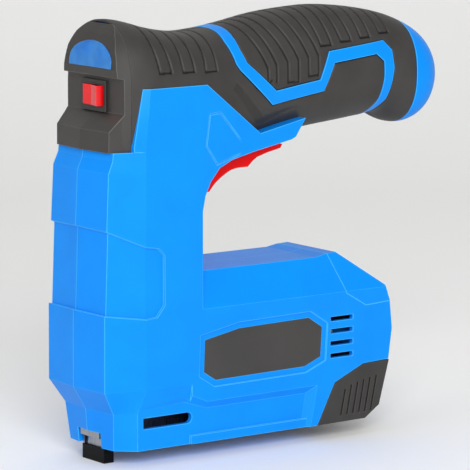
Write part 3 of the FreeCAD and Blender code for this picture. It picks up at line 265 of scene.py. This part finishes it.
def smooth_columns(table, at):
    """Each column of table as a smooth curve through its rows: cubic pieces whose slopes are the mean of
    the chords on either side, so the curve keeps to the rows and doesn't wander between them."""
    knots, values = table[:, 0], table[:, 1:]
    gaps = np.diff(knots)[:, None]
    chords = np.diff(values, axis=0) / gaps
    slopes = np.vstack([chords[:1], (chords[:-1] * gaps[1:] + chords[1:] * gaps[:-1]) / (gaps[1:] + gaps[:-1]),
                        chords[-1:]])
    i = np.clip(np.searchsorted(knots, at) - 1, 0, len(knots) - 2)
    h = gaps[i]
    t = ((at - knots[i])[:, None]) / h
    return ((2 * t**3 - 3 * t**2 + 1) * values[i] + (t**3 - 2 * t**2 + t) * h * slopes[i]
            + (3 * t**2 - 2 * t**3) * values[i + 1] + (t**3 - t**2) * h * slopes[i + 1])


def handle_point(along, angle, inset):
    """Handle surface, in mm: at each place along X the section is a superellipse of its own roundness above
    and below its widest line; angle 90 degrees is the crest, 180 the left side and 270 the underside."""
    top, middle, bottom, half, above, below = (c[:, None] for c in smooth_columns(SECTIONS, along[:, 0]).T)
    c, s = np.cos(angle), np.sin(angle)
    power = 2.0 / np.where(s >= 0, above, below)
    reach = np.where(s >= 0, top - middle, middle - bottom)
    y = (half - inset) * np.sign(c) * np.abs(c) ** power
    z = middle + (reach - inset) * np.sign(s) * np.abs(s) ** power
    return np.stack([np.broadcast_to(along, y.shape), y, z], axis=-1)


def distance_inside(corners, x, z):
    """Signed distance from the outline of a polygon in the side view: positive inside, in mm."""
    nearest = np.full(x.shape, 1e9)
    inside = np.zeros(x.shape, bool)
    for (ax, az), (bx, bz) in zip(corners, np.roll(corners, -1, axis=0)):
        ex, ez = bx - ax, bz - az
        t = np.clip(((x - ax) * ex + (z - az) * ez) / (ex * ex + ez * ez), 0.0, 1.0)
        nearest = np.minimum(nearest, np.hypot(x - ax - t * ex, z - az - t * ez))
        crosses = ((az > z) != (bz > z)) & (x < (bx - ax) * (z - az) / np.where(ez == 0, 1.0, ez) + ax)
        inside ^= crosses
    return np.where(inside, nearest, -nearest)


def rib_distance(rib, x, z, angle):
    """Distance in mm from a rib's outline: a strip across the crest whose edges lean as they go down, closed
    by a square end; positive inside the strip."""
    crest_left, crest_width, low_left, low_width, low_z = rib
    down = np.clip((angle - np.pi / 2) / np.radians(80.0), 0.0, 1.0) ** 1.6
    left = crest_left + (low_left - crest_left) * down
    width = crest_width + (low_width - crest_width) * down
    side = width / 2 - np.abs(x - left - width / 2)
    return np.minimum(side, (z - low_z) * 1.1)


def groove(distance, width, depth):
    """Rounded groove along the line where distance is 0."""
    return depth * np.exp(-(2.0 * distance / width) ** 4)


def smooth_step(value, low, high):
    """0 below low, 1 above high, with level ends."""
    t = np.clip((value - low) / (high - low), 0.0, 1.0)
    return t * t * (3 - 2 * t)


def mesh_object(name, points, faces, smooth=True):
    """Mesh object at the origin from points in mm and a face array."""
    mesh = bpy.data.meshes.new(name)
    mesh.from_pydata((points * MM).tolist(), [], faces.tolist())
    mesh.polygons.foreach_set("use_smooth", np.full(len(mesh.polygons), smooth))
    mesh.update()
    item = bpy.data.objects.new(name, mesh)
    bpy.context.scene.collection.objects.link(item)
    return item


def grid_faces(rows, columns):
    """Quads of a grid of rows by columns points."""
    index = np.arange(rows * columns).reshape(rows, columns)
    return np.stack([index[:-1, :-1], index[1:, :-1], index[1:, 1:], index[:-1, 1:]], axis=-1).reshape(-1, 4)


def sheet_grid(groove_width, groove_depth):
    """Outer face of the left rubber: the handle's surface, sunk by the rib outlines, the slanted panel and a
    rounded edge along the inlaid band; returns points, the sunk depth and which points are kept."""
    along = np.linspace(RUBBER_FRONT, RUBBER_BACK, LENGTH_STEPS)[:, None]
    angle = ROUND_ANGLES[None, :]
    flat = handle_point(along, angle, 0.0)
    x, z = flat[..., 0], flat[..., 2]
    wide_angle = np.broadcast_to(angle, x.shape)
    in_band = distance_inside(BAND, x, z)
    in_sunk = distance_inside(SUNK, x, z)
    sink = np.zeros_like(x)
    for rib in RIBS:
        sink = np.maximum(sink, groove(rib_distance(rib, x, z, wide_angle), groove_width, groove_depth))
    sink = sink * smooth_step(-in_band, 0.6, 2.2)
    sink = np.maximum(sink, PANEL_SINK * smooth_step(in_sunk, -0.3, 0.9) * smooth_step(-in_band, 0.2, 1.2))
    # Where the rubber dives under the band and the end cap, the material paints it in full shade as a shadow gap.
    sink = np.maximum(sink, DIVE * smooth_step(in_band, -0.85, 0.4))
    sink = np.maximum(sink, DIVE * smooth_step(x, CAP_START, CAP_START + 1.2))
    on_flank = smooth_step(188.0 - z, 0.0, 4.0) * smooth_step(HEAD_FLANK_BACK + 2.0 - x, 0.0, 2.0)
    sink = sink - FLANK_PROUD * on_flank
    lower_edge = np.where(x < HEAD_FLANK_BACK, FLANK_FOOT, np.interp(x, LOWER_EDGE_X, LOWER_EDGE_Z))
    keep = ((z > lower_edge) | (x > GUARD_BACK)) & (in_band < 1.4) & (x < RUBBER_BACK - 0.2)
    return handle_point(along, angle, sink), sink, keep


def rubber_half(name, side, settings):
    """One half of the moulded-on rubber, on side -1 or +1."""
    points, sink, keep = sheet_grid(settings.groove_width / MM, settings.groove_depth / MM)
    faces = grid_faces(*sink.shape)
    faces = faces[keep.reshape(-1)[faces].all(axis=1)]
    points = points.reshape(-1, 3).copy()
    if side < 0:
        faces = faces[:, ::-1]
    else:
        points[:, 1] *= -1
    used, renumbered = np.unique(faces, return_inverse=True)
    item = mesh_object(name, points[used], renumbered.reshape(-1, 4))
    # The sunk depth is stored for the material, which uses it to paint shade into the grooves and dips.
    depth = item.data.attributes.new("sunk", "FLOAT", "POINT")
    depth.data.foreach_set("value", (sink.reshape(-1)[used] / FULL_SHADE_SINK).astype(np.float32))
    wall = item.modifiers.new("wall", "SOLIDIFY")
    wall.thickness = settings.thickness
    wall.offset = -1.0
    return item


def grip_rubber():
    """Thermoplastic rubber moulded over the shell: matt and dense, with painted shade that turns its grooves and the
    dips under the shell nearly black.
    """
    material, tree, shader = blank("Thermoplastic_rubber_overmoulded")
    clouds = noise(tree, 16.0, 2.0)
    grain = noise(tree, 0.55)
    sunk = add(tree, "Attribute", {"attribute_name": "sunk"}).outputs["Fac"]
    tone = colour_between(tree, clouds, NOISE_SPAN, "#302E2C", "#383634")
    # Painted shade: the sunk depth darkens the grooves, the slanted panel and the dips under the shell towards near
    # black.
    tone = colour_between(tree, sunk, (0.25, 0.95), tone, "#050505")
    dress(tree, shader, tone, grain, (0.5, 0.62), grain, 0.03)
    shader.inputs["Specular IOR Level"].default_value = 0.4
    return material


# ---------------------------------------------------------------- finishes

def lens_polycarbonate():
    """Tinted polycarbonate, moulded glossy: clear blue with the lamp behind it showing through."""
    material, tree, shader = blank("Polycarbonate_blue_tinted")
    ripple = noise(tree, 9.0, 1.0)
    normal, _ = soft_edges(tree, 0.5)
    tone = colour_between(tree, ripple, NOISE_SPAN, "#1487EE", "#3FA0F5")
    dress(tree, shader, tone, ripple, (0.1, 0.16), ripple, 0.03, normal)
    shader.inputs["IOR"].default_value = 1.58
    shader.inputs["Transmission Weight"].default_value = 0.42
    return material


def lamp_epoxy():
    """Clear epoxy over a phosphor chip: pale yellow, glossy and faintly lit from inside."""
    material, tree, shader = blank("Epoxy_clear_moulded")
    cloud = noise(tree, 1.2, 2.0)
    tone = colour_between(tree, cloud, NOISE_SPAN, "#E9E6C6", "#FBFAEE")
    dress(tree, shader, tone, cloud, (0.08, 0.14), cloud, 0.0)
    tree.links.new(tone, shader.inputs["Emission Color"])
    shader.inputs["Emission Strength"].default_value = 0.6
    return material


def board_laminate():
    """Glass-epoxy board under solder mask: green and glossy, with paler tracks in a woven grid."""
    material, tree, shader = blank("Glass_epoxy_solder_mask")
    coordinates = add(tree, "TexCoord").outputs["Object"]
    tracks = add(tree, "TexBrick", None, {"Vector": coordinates, "Scale": 90.0, "Mortar Size": 0.035,
                                          "Color1": linear("#0E4A2C"), "Color2": linear("#125636"),
                                          "Mortar": linear("#2F8A57")})
    weave = noise(tree, 0.5)
    dress(tree, shader, tracks.outputs["Color"], weave, (0.25, 0.38), weave, 0.01)
    return material


def sleeve_film():
    """Heat-shrunk PVC sleeve: thin, taut and glossy, with faint rings where it gripped."""
    material, tree, shader = blank("PVC_shrink_sleeve")
    rings = noise(tree, 3.0, 3.0, ALONG_Y)
    tone = colour_between(tree, rings, NOISE_SPAN, "#176A5C", "#1E7A6A")
    dress(tree, shader, tone, rings, (0.22, 0.34), rings, 0.05)
    return material


def printed_ink():
    """Pad-printed ink: opaque white, a little rough."""
    return moulded("Ink_white_pad_printed", "#E9E7E2", "#F6F5F2", "#FFFFFF", 0.5, 0.3, 0.004, 0.05)


# Finish of each material slot: the function that makes it and its arguments; a moulding's fourth colour is a painted
# highlight on its edges.
FINISHES = {
    # Moulded ABS: bright and satin, with a paler painted highlight along its edges.
    "shell": (moulded, "ABS_blue_injection_moulded", "#0086EA", "#008CF1", "#45B8FF", 0.4, 0.7, 0.012, 0.7, 0.13),
    "soft_grip": (grip_rubber,),
    # Glass-filled nylon: hard, dark and finely grained, with a greyish painted highlight on its edges.
    "head_plastic": (moulded, "Nylon_dark_spark_textured", "#2E2C2A", "#363432", "#5A5752", 0.46, 0.6, 0.025, 0.6),
    "lens": (lens_polycarbonate,),
    "circuit": (board_laminate,),
    "led": (lamp_epoxy,),
    # Small nylon mouldings: near black, softly shining.
    "switch_black": (moulded, "Nylon_black_moulded", "#1C1B1A", "#252423", "#454442", 0.42, 0.5, 0.015, 0.4),
    # Polished-tool polycarbonate: a wet-looking red gloss.
    "rocker_red": (moulded, "Polycarbonate_red_polished", "#D80812", "#E6101C", "#F23A40", 0.16, 1.5, 0.004,
                   0.4, 0.4),
    # ABS in a saturated red, satin where the finger rubs, with a paler painted highlight on its edges.
    "trigger_red": (moulded, "ABS_red_satin_moulded", "#FA0004", "#FF0008", "#FF2A2C", 0.34, 0.7, 0.012, 0.7,
                    0.15),
    # Printed polyester film: satin charcoal with a soft fleck.
    "label": (moulded, "Polyester_film_printed", "#302E2C", "#383634", "#4A4845", 0.4, 0.45, 0.006, 0.3),
    # Hot-oxide black on turned steel: dark and oily.
    "screw_steel": (worked_metal, "Steel_black_oxide", "#2B2B2D", "#3E3E41", 0.38, ALL_WAYS, 0.4, 0.01),
    # Surface-ground plate: fine parallel scratches that pull the highlight out sideways.
    "steel": (worked_metal, "Steel_surface_ground", "#8E9093", "#B2B4B7", 0.32, ALONG_Z, 0.35, 0.01),
    # Wire drawn through a die: darker and streaked.
    "spring_steel": (worked_metal, "Steel_spring_wire_drawn", "#6C6D70", "#8A8B8E", 0.3, ALL_WAYS, 0.5, 0.01),
    # Phosphated steel: nearly matt and almost black.
    "foot_black": (worked_metal, "Steel_phosphated", "#161616", "#252525", 0.5, ALONG_X, 0.6, 0.015),
    # Compression-moulded rubber: dull, with hardly a highlight.
    "bumper": (moulded, "Rubber_moulded_matt", "#1B1B1B", "#242424", "#333333", 0.72, 0.5, 0.02, 0.3),
    # Die-cast alloy: pale grey with the mould's mottled skin.
    "alloy": (worked_metal, "Aluminium_die_cast", "#A9ABAE", "#C3C5C8", 0.42, ALL_WAYS, 0.9, 0.02),
    # Sintered bronze: brown gold with open pores.
    "bronze": (worked_metal, "Bronze_sintered", "#8F6A33", "#B98D4A", 0.45, ALL_WAYS, 0.35, 0.03),
    # Zinc-plated sheet: bright, cool and faintly cloudy along the roll.
    "motor_steel": (worked_metal, "Steel_zinc_plated", "#A2A6AB", "#C2C6CB", 0.26, ALONG_X, 0.8, 0.01),
    # Undyed nylon: creamy and waxy.
    "motor_plastic": (moulded, "Nylon_natural_moulded", "#D5CFBF", "#E4DFD0", "#F0ECE0", 0.45, 0.5, 0.015, 0.3),
    # Dark nylon with moulded ribs: greyer on its crests and edges, a painted highlight.
    "tail_grip": (moulded, "Nylon_ribbed_dark", "#282624", "#31302E", "#4D4B48", 0.48, 0.5, 0.025, 0.4),
    "cell": (sleeve_film,),
    # Unseen nylon frame: plain black and dull.
    "holder": (moulded, "Nylon_holder_black", "#1A1A1A", "#222222", "#343434", 0.5, 0.6, 0.02, 0.3),
}


class StapleGunFinishes(bpy.types.Operator):
    """Give every part of the frame the finish of its material slot"""
    bl_idname = "staplegun.finishes"
    bl_label = "Finishes"

    def execute(self, context):
        made = {slot: recipe[0](*recipe[1:]) for slot, recipe in FINISHES.items()}
        for part in frame["record"]["subparts"]:
            data = frame["nodes"][part["node"]].data
            data.materials.clear()
            data.materials.append(made[part["material_slot"]])
        return {"FINISHED"}


class StapleGunGrips(bpy.types.Operator):
    """Replace the plain rubber with ribbed rubber halves"""
    bl_idname = "staplegun.grips"
    bl_label = "Ribbed rubber grips"

    def execute(self, context):
        settings = context.scene.staplegun_grip
        for name, node, side in (("rubber_left", "left_grip", -1), ("rubber_right", "right_grip", 1)):
            item = rubber_half(name, side, settings)
            item.data.materials.append(frame["nodes"][node].data.materials[0])
            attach(item, "tool")
            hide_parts(node)
        return {"FINISHED"}


def flat_face(item, side):
    """Point and outward normal of the rocker's front wing on one side: the mean of its faces that look
    forwards, weighted by area."""
    polygons = item.data.polygons
    normals = np.empty(len(polygons) * 3)
    centres = np.empty(len(polygons) * 3)
    areas = np.empty(len(polygons))
    polygons.foreach_get("normal", normals)
    polygons.foreach_get("center", centres)
    polygons.foreach_get("area", areas)
    normals, centres = normals.reshape(-1, 3), centres.reshape(-1, 3)
    weight = areas * (normals[:, 0] < -0.9) * (side * centres[:, 1] > 0)
    normal = (normals * weight[:, None]).sum(axis=0)
    return (centres * weight[:, None]).sum(axis=0) / weight.sum() / MM, normal / np.linalg.norm(normal)


def flat_ring(inner, outer, stretch, steps):
    """Flat ring in mm: two ellipses round the origin, the second outside the first, stretched along v."""
    turn = np.linspace(0.0, 2 * np.pi, steps, endpoint=False)
    circle = np.stack([np.cos(turn), stretch * np.sin(turn)], axis=-1)
    index = np.arange(steps)
    after = np.roll(index, -1)
    faces = np.stack([index, index + steps, after + steps, after], axis=-1)
    return np.concatenate([circle * inner, circle * outer]), faces


def rocker_mark(name, flat, faces, side, ink):
    """A mark printed on the rocker's wing: flat points laid on the wing's plane and given a thin wall."""
    point, normal = flat_face(frame["nodes"]["rocker"], side)
    across = np.cross(normal, (0.0, 0.0, 1.0))
    across /= np.linalg.norm(across)
    upward = np.cross(across, normal)
    points = point + 0.03 * normal + flat[:, :1] * across + flat[:, 1:] * upward
    item = mesh_object(name, points, faces, smooth=False)
    item.data.materials.append(ink)
    wall = item.modifiers.new("wall", "SOLIDIFY")
    wall.thickness = 0.06 * MM
    wall.offset = 0.0
    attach(item, "rocker")
    return item


class StapleGunMarks(bpy.types.Operator):
    """Print the off ring and the on bar on the rocker"""
    bl_idname = "staplegun.marks"
    bl_label = "Rocker marks"

    def execute(self, context):
        ink = printed_ink()
        rocker_mark("mark_off", *flat_ring(0.75, 1.15, 1.25, 32), -1, ink)
        bar = np.array([(-0.2, -1.4), (0.2, -1.4), (0.2, 1.4), (-0.2, 1.4)])
        rocker_mark("mark_on", bar, np.array([[0, 1, 2, 3]]), 1, ink)
        return {"FINISHED"}


# ---------------------------------------------------------------- stage

CAMERA_PLACE = Vector((-0.98718, -1.47961, 0.39316))
CAMERA_AIM = Vector((0.58087, 0.79950, -0.15299))


def paper_sweep(depth, width):
    """Studio paper: flat, then curving up behind the tool on a quarter circle; a profile carried sideways."""
    turn = np.linspace(0.0, np.pi / 2, 24)
    radius = 0.8
    run = np.concatenate([[-depth], depth * 0.6 + radius * np.sin(turn), [depth * 0.6 + radius]])
    rise = np.concatenate([[0.0], radius * (1 - np.cos(turn)), [2.6]])
    side = np.linspace(-width, width, 5)
    forward = CAMERA_AIM.copy()
    forward.z = 0.0
    forward.normalize()
    along = run[:, None, None] * np.array(forward)[None, None, :]
    across = side[None, :, None] * np.array((forward.y, -forward.x, 0.0))[None, None, :]
    points = along + across + rise[:, None, None] * np.array((0.0, 0.0, 1.0))
    return points.reshape(-1, 3) / MM, grid_faces(len(run), len(side))[:, ::-1]


def paper(base):
    """Matt coated paper: even and pale, with a barely visible fibre."""
    material, tree, shader = blank("Paper_matt_coated")
    fibre = noise(tree, 1.5)
    shaded = (*[channel * 0.985 for channel in base], 1.0)
    tone = colour_between(tree, fibre, (0.2, 0.8), shaded, (*base, 1.0))
    dress(tree, shader, tone, fibre, 0.85, fibre, 0.01)
    return material


def softbox(name, place_at, target, size, power):
    """Square studio softbox turned to a point."""
    light = bpy.data.lights.new(name, "AREA")
    light.shape = "SQUARE"
    light.size = size
    light.energy = power
    item = bpy.data.objects.new(name, light)
    item.location = place_at
    item.rotation_euler = (Vector(target) - Vector(place_at)).to_track_quat("-Z", "Y").to_euler()
    bpy.context.scene.collection.objects.link(item)
    return item


class StapleGunStudio(bpy.types.Operator):
    """Build the paper floor, the soft light and the camera"""
    bl_idname = "staplegun.studio"
    bl_label = "Studio"

    def execute(self, context):
        settings = context.scene.staplegun_studio
        floor = mesh_object("paper_floor", *paper_sweep(1.6, 3.0))
        floor.data.materials.append(paper(settings.floor_colour))
        middle = (0.08, 0.0, 0.12)
        softbox("key_softbox", (-0.95, -1.75, 0.95), middle, 1.1, settings.key_power)
        softbox("fill_softbox", (-1.9, -0.2, 0.8), middle, 1.2, settings.fill_power)
        softbox("top_softbox", (0.2, 0.2, 1.9), middle, 1.2, settings.fill_power)
        world = bpy.data.worlds.new("soft_room")
        world.use_nodes = True
        sky = world.node_tree.nodes["Background"]
        sky.inputs["Color"].default_value = linear("#FFFFFF")
        sky.inputs["Strength"].default_value = 0.42
        context.scene.world = world
        context.scene.view_settings.view_transform = "Standard"
        camera = bpy.data.cameras.new("camera")
        camera.sensor_width = 36.0
        camera.lens = settings.focal_length
        camera.clip_end = 50.0
        item = bpy.data.objects.new("camera", camera)
        item.location = CAMERA_PLACE
        item.rotation_euler = CAMERA_AIM.to_track_quat("-Z", "Y").to_euler()
        context.scene.collection.objects.link(item)
        context.scene.camera = item
        return {"FINISHED"}


class StapleGunPanel(bpy.types.Panel):
    """Sizes, colours and the buttons that build each piece"""
    bl_idname = "VIEW3D_PT_staplegun"
    bl_label = "Staple gun"
    bl_space_type = "VIEW_3D"
    bl_region_type = "UI"
    bl_category = "Staple gun"

    def draw(self, context):
        for operator in OPERATORS:
            self.layout.operator(operator.bl_idname)
        for group in (context.scene.staplegun_grip, context.scene.staplegun_studio):
            box = self.layout.box()
            for name in group.__annotations__:
                box.prop(group, name)


GROUPS = {"staplegun_grip": StapleGunGripSettings, "staplegun_studio": StapleGunStudioSettings}
OPERATORS = (StapleGunFinishes, StapleGunGrips, StapleGunMarks, StapleGunStudio)


def register():
    """Register the settings, the operators and the panel."""
    for group in GROUPS.values():
        bpy.utils.register_class(group)
    for name, group in GROUPS.items():
        setattr(bpy.types.Scene, name, PointerProperty(type=group))
    for item in (*OPERATORS, StapleGunPanel):
        bpy.utils.register_class(item)


def unregister():
    """Take them away again, in reverse order."""
    for item in (StapleGunPanel, *reversed(OPERATORS)):
        bpy.utils.unregister_class(item)
    for name in GROUPS:
        delattr(bpy.types.Scene, name)
    for group in GROUPS.values():
        bpy.utils.unregister_class(group)


def main():
    """Register the add-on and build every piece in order."""
    register()
    bpy.ops.staplegun.finishes()
    bpy.ops.staplegun.grips()
    bpy.ops.staplegun.marks()
    bpy.ops.staplegun.studio()


if __name__ == "__main__":
    main()
